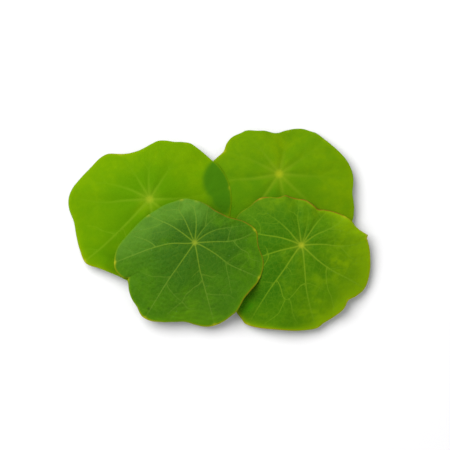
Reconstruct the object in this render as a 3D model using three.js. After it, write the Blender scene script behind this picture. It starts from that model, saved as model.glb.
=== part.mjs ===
// A bunch of four nasturtium leaves, lying face up on their cut stalks.
// Millimetres, +Z up, seen from above with +X to the right and +Y to the back. The origin is on the
// surface that the bunch lies on, under the middle of its outline.
//
// A nasturtium leaf is peltate: its stalk joins the underside inside the margin, and the main ribs
// run out from there. Bearings are in degrees round that joint, from +X towards +Y.

import * as THREE from 'three';

// Driving dimensions
const bladeThickness = 0.7;
const bossRadius = 1.5; // the round foot of the blade that the stalk joins
const bossDepth = 0.9;
const hubRadius = 3; // the ribs start to part here
const dimpleDepth = 0.6; // the blade is drawn down over its stalk
const dimpleRadius = 3.5;
const ribHalfWidth = 0.45;
const ribRiseAbove = 0.32;
const ribDropBelow = 0.6;
const ribTipShare = 0.3; // of a rib's relief, left at the margin
const ribRootShare = 0.5; // of it, at the hub
const forkShare = 0.6; // of a rib's relief, on its two branches
const swellBetweenRibs = 0.35; // where two ribs are wideGap apart, and less where they are closer
const wideGap = 40;
const columnAngle = 6.4; // between the lines of the net that run from stalk to margin
const ringShares = [0.13, 0.27, 0.41, 0.54, 0.67, 0.79, 0.9, 1];
const forkRing = 4; // the branches leave a rib where this ring crosses it
const forkLines = 2; // how many lines of the net they swing away from it
const droop = 2.1; // the power by which a blade falls away towards its margin

const stalkRadius = 1.2;
const stalkSides = 8;
const stalkStep = 2.6;
const jointGap = 0.3; // left between a stalk and its blade, and between two stalks
const stalkPitch = 2 * stalkRadius + jointGap;
const bundleX = -0.9; // the middle of the four stalks where they lie side by side

const stalkColour = 0x93ab4a;
const roughnessOf = { blade: 0.55, stalk: 0.45 };

// Each leaf: where its stalk joins the blade, the margin's reach and height by bearing, the bearings of
// each main rib at even steps from the stalk to the margin, and the stalk's way from its cut end to the
// blade.
const leaves = [
  {
    name: 'back_left',
    joint: [-30.6, 13.6, 9.6],
    colour: 0x6ea006,
    reach: [
      [3, 35.9], [14, 35.3], [27, 33.4], [33, 32.1], [40, 31.3], [48, 30.7], [54, 30.4], [60, 29.1],
      [67, 27.5], [75, 26.8], [82, 26], [88, 24.5], [96, 22.8], [104, 22], [113, 22.2], [120, 23.2],
      [126, 24.9], [133, 27.5], [140, 28.7], [150, 29.6], [157, 30.7], [165, 32.6], [172, 34.6],
      [179, 35.9], [186, 36], [196, 35], [205, 36], [216, 38.1], [225, 39.8], [233, 37.8], [241, 36.7],
      [248, 36.5], [256, 37], [270, 35.4], [285, 35.6], [303, 36.4], [320, 36], [334, 36.4],
      [347, 35.9],
    ],
    height: [
      [2, 7.2], [14, 7.2], [23, 6.9], [32, 6.1], [52, 6.4], [75, 5.6], [95, 6], [115, 4.2], [143, 0.45],
      [165, 2.6], [183, 2.4], [203, 3.6], [226, 4.9], [245, 6.6], [275, 5.4], [303, 5.2], [330, 6],
      [349, 6.8],
    ],
    ribs: [
      [0, 1, 3, 6, 9], [57, 57, 57, 57, 57], [94, 93, 91, 90, 89], [118, 120, 121, 123, 124],
      [151, 154, 158, 162, 165], [183, 183, 184, 181, 178], [227, 227, 226, 225, 223.5],
      [280, 279, 278, 277, 277], [320, 321, 323, 325, 326],
    ],
    stalk: [[-17, -6, 0.1], [-25.5, 5, 0.7], [-29.8, 11.2, 3.4]],
  },
  {
    name: 'back_right',
    joint: [26.2, 24.8, 7.2],
    colour: 0x649406,
    reach: [
      [0, 32.4], [10, 30.6], [21, 28], [30, 26.2], [38, 25.1], [48, 24.3], [54, 23.4], [62, 22.6],
      [70, 21.3], [78, 19.9], [84, 19], [90, 18.2], [98, 18.3], [108, 20], [117, 21.4], [127, 24],
      [133, 24.7], [142, 26.3], [150, 26.7], [158, 26.4], [165, 28.2], [175, 31.6], [183, 33.2],
      [192, 33.1], [200, 31.4], [210, 30.2], [220, 29], [232, 28.6], [254, 29.5], [275, 30.2],
      [290, 30.6], [308, 34.6], [320, 37.6], [327, 38.3], [335, 36.4], [345, 33.4], [353, 32.9],
    ],
    height: [
      [0, 5.6], [20, 5.8], [42, 4.1], [66, 0.5], [90, 3.2], [112, 4.4], [135, 3], [157, 4.2],
      [180, 4.4], [205, 4.8], [240, 5], [270, 4.6], [300, 4.2], [327, 4.4], [343, 5.8],
    ],
    ribs: [
      [355, 355, 356, 356, 357], [32, 33, 34, 35, 36], [76, 76, 77, 78, 78], [125, 126, 127, 127, 128],
      [152, 153, 154, 156, 157], [193, 191, 188, 187, 186], [238, 237, 236, 236, 235],
      [281, 281, 280, 280, 280], [315, 316, 317, 318, 319],
    ],
    stalk: [[3.4, -11, 0.1], [11, 3, 0.1], [20.5, 17, 0.5], [24.9, 22.9, 2]],
  },
  {
    name: 'front_left',
    joint: [-10.8, -5.4, 15.2],
    colour: 0x487917,
    reach: [
      [3, 27.6], [9, 27.7], [14, 26.8], [19, 25], [24, 23.2], [30, 20.7], [37, 18.6], [46, 17.4],
      [58, 16.7], [70, 17.3], [83, 18.2], [92, 18.8], [102, 19.8], [111, 20], [118, 20.2], [128, 21.1],
      [139, 22.1], [147, 23.4], [154, 24.7], [161, 26.2], [168, 27.9], [174, 29.9], [179, 32],
      [184, 34.1], [190, 35.7], [198, 36.9], [204, 35.7], [206.6, 34.5], [207.8, 33], [209.2, 33.8],
      [212, 34.4], [216, 35.7], [222, 37.1], [228, 38], [234, 39.8], [240, 39.6], [247, 37.9],
      [255, 36.1], [263, 35.1], [270, 36.1], [277, 37.3], [283, 37.5], [290, 36.9], [296, 35.9],
      [301, 35.3], [306, 33.9], [312, 32.5], [320, 32.2], [328, 32.5], [338, 32.1], [346, 30.9],
      [352, 29.1], [357, 27.9],
    ],
    height: [
      [10, 10.9], [30, 11], [55, 12.4], [80, 13], [100, 12.2], [125, 13.2], [150, 11.1], [172, 10.8],
      [198, 8.2], [212, 9], [236, 7.1], [256, 7.4], [283, 5.6], [304, 11.4], [322, 12.6], [340, 11.8],
    ],
    ribs: [
      [3, 3, 2.3, 6, 11], [38, 35.5, 29.5, 21.5, 18], [62, 58, 55, 52, 49], [84, 84.5, 86.5, 90, 89],
      [114, 113, 113.5, 115.3, 108], [141, 142, 144.2, 147.6, 149.7], [186, 182, 187.5, 191.7, 194],
      [235, 235, 235, 236, 236.5], [283, 281, 282.5, 283.2, 283.5], [338, 331.7, 328, 330, 331.5],
    ],
    stalk: [[-2.25, -21, 0.35], [-2.8, -16.8, 4.6], [-6.4, -10.4, 8.2], [-9.7, -6.9, 10]],
  },
  {
    name: 'front_right',
    joint: [35.9, -6.5, 11.2],
    colour: 0x50820e,
    reach: [
      [4, 29.3], [6.5, 29.1], [8.5, 29.6], [11, 28.2], [15, 26.4], [20, 25.1], [25, 24.6], [32, 23.3],
      [39, 21.8], [48, 20.1], [57, 18.5], [64.5, 17.4], [71, 18], [78, 18.9], [85, 19.9], [93, 20.3],
      [98, 20.8], [103, 21.7], [108, 23], [113, 23], [118, 23.6], [124, 25.5], [131, 27.4], [137, 28],
      [143, 28.3], [154, 30.6], [167, 30.8], [181, 30.4], [196, 32.4], [212, 36.8], [226, 41],
      [231, 41.8], [235, 42.5], [244, 40.7], [251, 39.2], [259, 38.2], [273, 37.5], [281, 37.2],
      [286, 35.8], [292, 35], [304, 33.7], [310.5, 32], [317, 33], [326, 33.9], [338, 32.6],
      [350, 30.9], [358, 30],
    ],
    height: [
      [8, 6.6], [28, 8.2], [52, 7], [75, 9], [98, 8.4], [118, 9.2], [140, 8.2], [165, 7.2], [190, 6.4],
      [215, 3.8], [236, 4.2], [257, 6.2], [281, 4.6], [300, 5.6], [312, 5.9], [326, 4.2], [347, 5],
    ],
    ribs: [
      [3.5, 2, -1.5, 0.5, 4], [38, 35.5, 30.5, 30, 33], [57, 56, 55.5, 53.7, 52.5],
      [71, 73, 75, 78.5, 83], [98, 97.5, 98, 94.5, 93], [134, 131.7, 134.5, 137.3, 132],
      [156, 160.3, 164.8, 166, 167], [196, 194, 195.5, 195, 195], [229, 234.5, 234.4, 235.3, 236.3],
      [283, 277.5, 276.5, 278.5, 280], [317.5, 317.7, 321, 324.5, 325.5],
    ],
    stalk: [[6.6, -22, 0.1], [19, -15, 0.2], [30, -9.6, 1.2], [34.8, -7.1, 4.6]],
  },
];

// The stalks lie side by side in this order, and each is cut at its own length.
const bundle = [
  { leaf: 'back_left', cutY: -34.4 },
  { leaf: 'front_left', cutY: -36.2 },
  { leaf: 'back_right', cutY: -33.6 },
  { leaf: 'front_right', cutY: -35.3 },
];
const bundleTurnY = -24; // the stalks lie straight from here to their cut ends

const lerp = THREE.MathUtils.lerp;

// A smooth closed curve through points given as [bearing, value].
function roundCurve(points) {
  const count = points.length;
  const at = (i) => {
    const turns = Math.floor(i / count);
    const [bearing, value] = points[i - turns * count];
    return [bearing + 360 * turns, value];
  };
  const slope = (i) => (at(i + 1)[1] - at(i - 1)[1]) / (at(i + 1)[0] - at(i - 1)[0]);
  return (bearing) => {
    const angle = points[0][0] + THREE.MathUtils.euclideanModulo(bearing - points[0][0], 360);
    let i = 0;
    while (at(i + 1)[0] <= angle) i += 1;
    const [x0, y0] = at(i);
    const [x1, y1] = at(i + 1);
    const t = (angle - x0) / (x1 - x0);
    const rise = (x1 - x0) * (slope(i) * (1 - t) - slope(i + 1) * t) * t * (1 - t);
    return lerp(y0, y1, t * t * (3 - 2 * t)) + rise;
  };
}

// A rib bends a little where a branch leaves it, so its bearing changes on the way out.
function ribBearing(rib, share) {
  const step = share * (rib.length - 1);
  const i = Math.min(Math.floor(step), rib.length - 2);
  return lerp(rib[i], rib[i + 1], step - i);
}

// The lines of the blade's net from stalk to margin: a crest and two flanks for each rib, and even
// lines across the blade between ribs. A line's offset is in millimetres to one side of its rib.
function netColumns(ribs) {
  const columns = [];
  ribs.forEach((rib, i) => {
    const next = ribs[(i + 1) % ribs.length].map((b, k) => b + (b < rib[k] ? 360 : 0));
    const gap = (next[0] - rib[0] + next.at(-1) - rib.at(-1)) / 2;
    const swell = swellBetweenRibs * Math.min(gap / wideGap, 1);
    const inner = Math.max(2, Math.round(gap / columnAngle) - 1);
    columns.push({ rib, next, across: 0, offset: 0, side: 1, kind: 'crest' });
    columns.push({ rib, next, across: 0, offset: ribHalfWidth, side: 1, kind: 'flank' });
    for (let k = 1; k <= inner; k += 1) {
      const side = k <= inner / 2 ? 1 : -1;
      const fromRib = side > 0 ? k : inner + 1 - k;
      const across = k / (inner + 1);
      const rise = swell * Math.sin(Math.PI * across) ** 2;
      columns.push({ rib, next, across, rise, offset: 0, side, kind: 'inner', fromRib });
    }
    columns.push({ rib, next, across: 1, offset: -ribHalfWidth, side: -1, kind: 'flank' });
  });
  return columns;
}

// How much of a rib's relief a point of the net has. A rib parts into two branches, which climb away
// from it by one line of the net at each ring and then run on to the margin.
function reliefShare(column, ringIndex) {
  if (column.kind === 'crest') return 1;
  const step = ringIndex - forkRing;
  if (column.kind === 'flank') return step === 0 ? forkShare : 0;
  return step > 0 && column.fromRib === Math.min(step, forkLines) ? forkShare : 0;
}

// The upper and the lower point of the blade where a line of its net crosses a ring.
function netPoints(leaf, column, ring, ringIndex) {
  const own = ribBearing(column.rib, ring.share);
  const middle = lerp(own, ribBearing(column.next, ring.share), column.across);
  const along = lerp(hubRadius, leaf.reachAt(middle), ring.share);
  const bearing = middle + THREE.MathUtils.radToDeg(column.offset / along);
  const reach = leaf.reachAt(bearing);
  const distance = ring.radius ?? lerp(hubRadius, reach, ring.share);
  const outward = distance / reach;

  const [jointX, jointY, jointZ] = leaf.joint;
  const angle = THREE.MathUtils.degToRad(bearing);
  const x = jointX + distance * Math.cos(angle);
  const y = jointY + distance * Math.sin(angle);
  const fall = lerp(jointZ, leaf.marginHeightAt(bearing), outward ** droop);
  const dimple = dimpleDepth * Math.exp(-((distance / dimpleRadius) ** 2));
  const swell = (column.rise ?? 0) * Math.sin(Math.PI * outward);
  const surface = fall - dimple + swell;

  const isFoot = ringIndex === 0;
  const taper = ring.share > 0 ? lerp(1, ribTipShare, outward) : ribRootShare;
  const relief = isFoot ? 0 : reliefShare(column, ringIndex) * taper;
  const upper = surface + bladeThickness / 2 + ribRiseAbove * relief;
  const lower = surface - bladeThickness / 2 - ribDropBelow * relief - (isFoot ? bossDepth : 0);
  return [[x, y, upper], [x, y, lower]];
}

// The triangles of both faces and of the margin between them. The faces are split alike, so that a
// bend never brings them through each other, and along the branches of the ribs.
function bladeTriangles(columns, ringCount, under) {
  const faces = [];
  const vertex = (ring, column) => 1 + ring * columns.length + (column % columns.length);
  const addToBoth = (a, b, c) => faces.push(a, b, c, under + a, under + c, under + b);
  columns.forEach((column, i) => {
    addToBoth(0, vertex(0, i), vertex(0, i + 1));
    for (let ring = 0; ring + 1 < ringCount; ring += 1) {
      const [a, b] = [vertex(ring, i), vertex(ring + 1, i)];
      const [d, c] = [vertex(ring, i + 1), vertex(ring + 1, i + 1)];
      if (column.side > 0) {
        addToBoth(a, b, c);
        addToBoth(a, c, d);
      } else {
        addToBoth(a, b, d);
        addToBoth(b, c, d);
      }
    }
    const [m, n] = [vertex(ringCount - 1, i), vertex(ringCount - 1, i + 1)];
    faces.push(m, under + m, under + n, m, under + n, n);
  });
  return faces;
}

function bladeGeometry(leafShape) {
  const leaf = {
    ...leafShape,
    reachAt: roundCurve(leafShape.reach),
    marginHeightAt: roundCurve(leafShape.height),
  };
  const [jointX, jointY, jointZ] = leaf.joint;
  const columns = netColumns(leaf.ribs);
  const rings = [
    { radius: bossRadius, share: 0 },
    { radius: hubRadius, share: 0 },
    ...ringShares.map((share) => ({ share })),
  ];
  const middle = jointZ - dimpleDepth;
  const top = [[jointX, jointY, middle + bladeThickness / 2]];
  const bottom = [[jointX, jointY, middle - bladeThickness / 2 - bossDepth]];
  rings.forEach((ring, ringIndex) => {
    columns.forEach((column) => {
      const [upper, lower] = netPoints(leaf, column, ring, ringIndex);
      top.push(upper);
      bottom.push(lower);
    });
  });

  const geometry = new THREE.BufferGeometry();
  geometry.setAttribute('position', new THREE.Float32BufferAttribute([...top, ...bottom].flat(), 3));
  geometry.setIndex(bladeTriangles(columns, rings.length, top.length));
  geometry.computeVertexNormals();
  return geometry;
}

// A stalk is a round rod with one flat side down, so it lies steady on the surface.
function stalkGeometry(leaf) {
  const place = bundle.findIndex((entry) => entry.leaf === leaf.name);
  const x = bundleX + (place - (bundle.length - 1) / 2) * stalkPitch;
  const { cutY } = bundle[place];
  const lying = stalkRadius * Math.cos(Math.PI / stalkSides); // the axis over a flat side
  const [jointX, jointY, jointZ] = leaf.joint;
  const end = jointZ - dimpleDepth - bladeThickness / 2 - bossDepth - jointGap;
  const straight = [0, 1, 2, 3].map((i) => [x, lerp(cutY, bundleTurnY, i / 3), lying]);
  const way = leaf.stalk.map(([wayX, wayY, lift]) => [wayX, wayY, lift + lying]);
  const upright = [[jointX, jointY, end - stalkRadius], [jointX, jointY, end]];
  const points = [...straight, ...way, ...upright].map((point) => new THREE.Vector3(...point));
  const path = new THREE.CatmullRomCurve3(points, false, 'centripetal');

  const section = new THREE.Shape();
  for (let i = 0; i < stalkSides; i += 1) {
    const angle = ((i + 0.5) * 2 * Math.PI) / stalkSides;
    const corner = [stalkRadius * Math.cos(angle), stalkRadius * Math.sin(angle)];
    if (i === 0) section.moveTo(...corner);
    else section.lineTo(...corner);
  }
  section.closePath();
  return new THREE.ExtrudeGeometry(section, {
    steps: Math.round(path.getLength() / stalkStep),
    extrudePath: path,
  });
}

function namedMesh(name, geometry, colour, roughness) {
  const material = new THREE.MeshStandardMaterial({ color: colour, roughness, metalness: 0 });
  const mesh = new THREE.Mesh(geometry, material);
  mesh.name = name;
  return mesh;
}

const bunch = new THREE.Group();
bunch.name = 'nasturtium_leaf_bunch';
leaves.forEach((leaf) => {
  bunch.add(namedMesh(`blade_${leaf.name}`, bladeGeometry(leaf), leaf.colour, roughnessOf.blade));
  bunch.add(namedMesh(`stalk_${leaf.name}`, stalkGeometry(leaf), stalkColour, roughnessOf.stalk));
});

export default bunch;
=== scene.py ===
import math
import bpy
import numpy as np
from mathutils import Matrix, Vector, kdtree


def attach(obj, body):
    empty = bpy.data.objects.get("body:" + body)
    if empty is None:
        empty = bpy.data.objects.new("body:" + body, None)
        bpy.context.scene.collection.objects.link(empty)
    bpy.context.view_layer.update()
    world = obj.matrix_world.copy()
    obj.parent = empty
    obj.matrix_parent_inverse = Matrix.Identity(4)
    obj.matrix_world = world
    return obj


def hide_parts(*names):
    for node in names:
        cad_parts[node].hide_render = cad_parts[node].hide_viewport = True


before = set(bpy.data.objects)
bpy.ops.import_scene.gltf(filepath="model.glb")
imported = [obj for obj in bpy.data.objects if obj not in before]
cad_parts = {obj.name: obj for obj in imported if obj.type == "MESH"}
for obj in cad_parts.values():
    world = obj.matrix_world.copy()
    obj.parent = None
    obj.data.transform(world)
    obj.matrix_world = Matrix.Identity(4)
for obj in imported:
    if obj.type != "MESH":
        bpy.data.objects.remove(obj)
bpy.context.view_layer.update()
mm = 0.001

# The back right leaf's blade lies lowest. A nasturtium blade is one thin sheet, held by its stalk under
# the middle: it is drawn down over the joint, swells up between its pale ribs, and falls away in shallow
# lobes to a thin margin. It is grown here as a round net of points over that form, both faces alike.
hub_radius = 3.0
boss_radius = 1.5
boss_depth = 0.9
dimple_depth = 0.6
dimple_radius = 3.5
swell_between_ribs = 0.35
wide_gap = 40.0
droop = 2.1
half_thickness = 0.21
net_lines = 448
hub_rings = 10
blade_rings = 92


def smooth_step(low, high, x):
    t = np.clip((x - low) / (high - low), 0, 1)
    return t * t * (3 - 2 * t)


def round_curve(points):
    """A smooth closed curve through points given as (bearing, value), the same one as the solids'."""
    bearings, values = np.array(points, float).T
    turn = [bearings - 360, bearings, bearings + 360, bearings + 720]
    b, v = np.concatenate(turn), np.tile(values, len(turn))
    slope = np.zeros_like(v)
    slope[1:-1] = (v[2:] - v[:-2]) / (b[2:] - b[:-2])

    def at(bearing):
        angle = np.mod(np.asarray(bearing, float), 360)
        i = np.searchsorted(b, angle, side="right") - 1
        t = (angle - b[i]) / (b[i + 1] - b[i])
        rise = (b[i + 1] - b[i]) * (slope[i] * (1 - t) - slope[i + 1] * t) * t * (1 - t)
        return v[i] + (v[i + 1] - v[i]) * t * t * (3 - 2 * t) + rise

    return at


rib_step = 0.25
least_gap = 1e-4


def smooth_way(points, step):
    """Points about step apart on a smooth open curve through the given points."""
    points = [np.array(p, float) for p in points]
    points = [2 * points[0] - points[1]] + points + [2 * points[-1] - points[-2]]
    way = []
    for p0, p1, p2, p3 in zip(points, points[1:], points[2:], points[3:]):
        gaps = [np.linalg.norm(b - a) ** 0.5 for a, b in ((p0, p1), (p1, p2), (p2, p3))]
        d0, d1, d2 = (max(gap, least_gap) for gap in gaps)
        leave = ((p1 - p0) / d0 - (p2 - p0) / (d0 + d1) + (p2 - p1) / d1) * d1
        arrive = ((p2 - p1) / d1 - (p3 - p1) / (d1 + d2) + (p3 - p2) / d2) * d1
        count = max(2, int(round(np.linalg.norm(p2 - p1) / step)))
        for t in np.arange(count) / count:
            start, end = (2 * t**3 - 3 * t**2 + 1) * p1, (3 * t**2 - 2 * t**3) * p2
            way.append(start + end + (t**3 - 2 * t**2 + t) * leave + (t**3 - t**2) * arrive)
    return np.array(way + [points[-2]])


def place(bearing, distance):
    angle = np.radians(bearing)
    return np.stack([distance * np.cos(angle), distance * np.sin(angle)], -1)


def turned(direction, degrees):
    c, s = math.cos(math.radians(degrees)), math.sin(math.radians(degrees))
    return np.array([c * direction[0] - s * direction[1], s * direction[0] + c * direction[1]])


def rib_bearing(rib, share):
    """A rib bends a little where a branch leaves it, so its bearing is given at even steps."""
    return np.interp(share, np.linspace(0, 1, len(rib)), rib)


def way_out(leaf, bearing, share):
    """The distance from the joint at a share of the way from the hub to the margin."""
    return hub_radius + (leaf["reach_at"](bearing) - hub_radius) * share


def rib_point(leaf, rib, share):
    bearing = rib_bearing(rib, share)
    return place(bearing, way_out(leaf, bearing, share))


rib_start = 0.2
branch_half_width = 0.28
branch_taper = 0.08
branch_shows = 0.95
branch_fades = 0.4
first_twig = (4, 2)
twig_spacing = (1.2, 1.6)
twig_length = (2.5, 4)
twig_angle = (52, 22)
twig_bend = (18, 20)
twig_elbow = 0.4
twig_half_width = 0.14
twig_taper = 0.06
twig_fades = 0.7


def drawn(rng, least, spread):
    return least + spread * rng.random()


def grow_veins(leaf, seed):
    """The ribs and branches, and the finer twigs, each as (points, half width, strength)."""
    rng = np.random.default_rng(seed)
    veins, twigs = [], []
    for number, rib in enumerate(leaf["ribs"]):
        corners = [rib_point(leaf, rib, share) for share in np.linspace(0, 1, len(rib))]
        path = smooth_way([corners[0] * rib_start] + corners, rib_step)
        share = np.linspace(0, 1, len(path))
        strength = np.interp(share, *zip(*leaf["own_fading"].get(number, leaf["rib_fading"])))
        veins.append((path, np.interp(share, *zip(*leaf["rib_widths"])), strength))
    for strength, *corners in leaf["branches"]:
        path = smooth_way([place(*corner) for corner in corners], rib_step)
        share = np.linspace(0, 1, len(path))
        width = branch_half_width - branch_taper * share
        veins.append((path, width, strength * (branch_shows - branch_fades * share)))
    for path, width, strength in veins:
        length = np.cumsum(np.r_[0, np.linalg.norm(np.diff(path, axis=0), axis=1)])
        spot, side = drawn(rng, *first_twig), 1
        while spot < length[-1] - 1:
            i = int(np.searchsorted(length, spot))
            along = path[i] - path[i - 1]
            along /= np.linalg.norm(along)
            reach = drawn(rng, *twig_length)
            away = turned(along, side * drawn(rng, *twig_angle))
            bend = turned(away, -side * drawn(rng, *twig_bend))
            elbow, tip = path[i] + away * reach * twig_elbow, path[i] + bend * reach
            twig = smooth_way([path[i], elbow, tip], rib_step)
            fade = np.linspace(0, 1, len(twig))
            twigs.append((twig, twig_half_width - twig_taper * fade, 1 - twig_fades * fade))
            side = -side
            spot += drawn(rng, *twig_spacing)
    return veins, twigs


def nearest_spots(spots, points):
    """Which of the spots is nearest to each point."""
    tree = kdtree.KDTree(len(spots))
    for i, (x, y) in enumerate(spots):
        tree.insert((x, y, 0), i)
    tree.balance()
    return np.array([tree.find((x, y, 0))[1] for x, y in points])


def vein_distance(points, veins):
    """For each point, the nearest vein's signed and plain distance, its half width and its strength."""
    spots = np.concatenate([path for path, _, _ in veins])
    along = np.concatenate([np.gradient(path, axis=0) for path, _, _ in veins])
    along /= np.linalg.norm(along, axis=1)[:, None]
    width = np.concatenate([w for _, w, _ in veins])
    strength = np.concatenate([s for _, _, s in veins])
    nearest = nearest_spots(spots, points)
    off = points - spots[nearest]
    across = along[nearest][:, 0] * off[:, 1] - along[nearest][:, 1] * off[:, 0]
    return across, np.linalg.norm(off, axis=1), width[nearest], strength[nearest]


ring_spread = 0.96
last_ring = 0.995


def lay_net(leaf):
    """Each point of the net: its bearing, its distance from the joint, its place between two ribs, and
    how much the blade swells there, which is less where the two ribs are close."""
    line = np.arange(net_lines) * 360 / net_lines
    reach = leaf["reach_at"](line)
    turn = leaf["ribs"] + [[bearing + 360 for bearing in leaf["ribs"][0]]]
    gaps = [(b[0] - a[0] + b[-1] - a[-1]) / 2 for a, b in zip(turn, turn[1:])]
    swells = swell_between_ribs * np.minimum(np.array(gaps) / wide_gap, 1)
    shares = list(np.linspace(0, 1, blade_rings + 1)[1:] ** ring_spread)
    shares.insert(-1, last_ring)
    rings = [(hub_radius * (k + 1) / hub_rings, 0.0) for k in range(hub_rings)]
    rings += [(hub_radius, share) for share in shares]
    rows = []
    for near, share in rings:
        distance = near + (reach - hub_radius) * share if share else np.full(net_lines, near)
        ribs = np.array([rib_bearing(rib, share) for rib in leaf["ribs"]])
        round_and_round = np.concatenate([ribs - 360, ribs, ribs + 360])
        between = np.interp(line, round_and_round, np.arange(3 * len(ribs)))
        swell = swells[between.astype(int) % len(ribs)] * np.sin(math.pi * between) ** 2
        rows.append((line, distance, reach, swell))
    return [np.concatenate(column) for column in zip(*rows)]


patch_sway = 0.3


def soft_patches(patches, plan):
    """Where a mark lies, from a few round patches of (bearing, distance, size, amount), such as deeper green
    with painted shade and paler green with painted light.
    """
    amount = np.zeros(len(plan))
    x, y = plan.T
    sway = np.stack([np.sin(0.8 * y + np.sin(0.5 * x)), np.sin(0.7 * x + np.sin(0.6 * y + 2))], -1)
    for bearing, distance, size, most in patches:
        off = plan + patch_sway * size * sway - place(bearing, distance)
        amount += most * np.exp(-(off**2).sum(1) / size**2)
    return np.clip(amount, 0, 1)


gland_width = 0.8
gland_inset = 0.35
gland_depth = 0.6
edge_below = (-1.8, 1.3)
sheen_starts = (0.3, 0.8)
sheen_spares_deep = 0.5
least_yellow = 0.05
yellow_falloff = 1.5
lens_shade_at_margin = 0.45


def blade_facts(leaf, bearing, distance, reach, plan, over):
    """What the blade's colours need to know at each point of the net. A gland is the small yellow spot
    where a rib reaches the margin."""

    def by_bearing(fact):
        return round_curve(leaf[fact])(bearing)

    inside = reach - distance
    outward = distance / reach
    gland = np.zeros_like(distance)
    for spot, strength in leaf["glands"]:
        along = np.radians((bearing - spot + 180) % 360 - 180) * distance
        inward = (inside - gland_inset) / gland_depth
        gland += strength * np.exp(-((along / gland_width) ** 2) - inward**2)
    lies_over = np.zeros_like(distance)
    if over is not None:
        gap = plan + leaf["joint"][:2] - over["joint"][:2]
        under_reach = over["reach_at"](np.degrees(np.arctan2(gap[:, 1], gap[:, 0])))
        lies_over = smooth_step(*edge_below, under_reach - np.linalg.norm(gap, axis=1))
    # The darker lens is painted shade, where the leaf below lies under this one and keeps light from coming
    # through.
    lens_shade = (lies_over + soft_patches(leaf["more_lens_shade"], plan)) * by_bearing("lens_shade_by_bearing")
    thin = lens_shade_at_margin + (1 - lens_shade_at_margin) * smooth_step(0, 0.8, inside)
    # Deeper green is partly the leaf's own tone and partly painted shade.
    deeper_and_shade = soft_patches(leaf["deeper_and_shade"], plan)
    # The grey sheen is a painted highlight, lighter and greyer on the upper left where light glances off the
    # blade.
    painted_sheen = np.clip(by_bearing("painted_sheen"), 0, 1) * smooth_step(*sheen_starts, outward)
    yellow_width = np.clip(by_bearing("yellow"), least_yellow, None)
    return {
        "inside": inside,
        "distance": distance,
        "outward": outward,
        "gland": np.clip(gland, 0, 1),
        "rim": np.clip(by_bearing("rim"), 0, 1),
        "shaded": soft_patches(leaf["shaded"], plan),
        "rust": np.clip(by_bearing("rust"), 0, 1),
        "yellow": np.exp(-((inside / yellow_width) ** yellow_falloff)),
        "deeper_and_shade": deeper_and_shade,
        # Paler green is partly the leaf's own tone and partly painted light on slopes turned from the lamp.
        "paler_and_lit": soft_patches(leaf["paler_and_lit"], plan),
        # Painted light: green light through the leaf above, inside its shadow.
        "light_through_above": soft_patches(leaf["light_through_above"], plan),
        "painted_sheen": painted_sheen * (1 - sheen_spares_deep * deeper_and_shade),
        "over": lies_over,
        "through": np.clip(lens_shade, 0, 1) * thin,
    }


def top_under(leaf, plan):
    """The height of a leaf's upper face under each point, taken at the nearest point of its net."""
    return leaf["top"][nearest_spots(leaf["top"][:, :2], plan), 2]


pucker_waves = 16
pucker_lengths = (1.5, 3.2)


def puckers(plan, rng):
    """Small uneven swellings of the sheet, from short waves that run every way."""
    height = np.zeros(len(plan))
    for _ in range(pucker_waves):
        ahead = place(rng.uniform(0, 360), 2 * math.pi / rng.uniform(*pucker_lengths))
        height += np.sin(plan @ ahead + rng.uniform(0, 2 * math.pi))
    return height * math.sqrt(2 / pucker_waves)


calm_steps = (-6, -3, 0, 3, 6)
own_outline_from = 0.75
rib_clearance = 1.5
twig_clearance = 0.55
quilt_depth = 0.12
ruffle_waves = (9, 13, 17, 22)
ruffle_height = 0.1
ruffle_rise = 5
about_a_turn = 6.28
puckered_everywhere = 0.35
ripple_spacing = 2.2
ripple_depth = 0.07
ripple_sway = 1.1
ripple_sways = 11
ridge_widths = (0.38, 0.45)
ridge_height = 0.05
gland_height = 0.05
keel_depth = 0.5
least_keel = 0.35
keel_fades = 0.7
margin_thickness = 0.3
margin_width = 0.9
laid_gap = 0.03
sharp_angle = 50
far_off = 8


def shown_piece(name, points, faces, skin):
    """A smooth piece put in the scene, from points in millimetres, and its mesh."""
    mesh = bpy.data.meshes.new(name)
    mesh.from_pydata((np.array(points) * mm).tolist(), [], faces)
    mesh.polygons.foreach_set("use_smooth", [True] * len(mesh.polygons))
    mesh.materials.append(skin)
    piece = bpy.data.objects.new(name, mesh)
    bpy.context.scene.collection.objects.link(piece)
    return piece, mesh


def mark_points(mesh, fact, values):
    mesh.attributes.new(fact, "FLOAT", "POINT").data.foreach_set("value", values.astype(np.float32))


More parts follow.
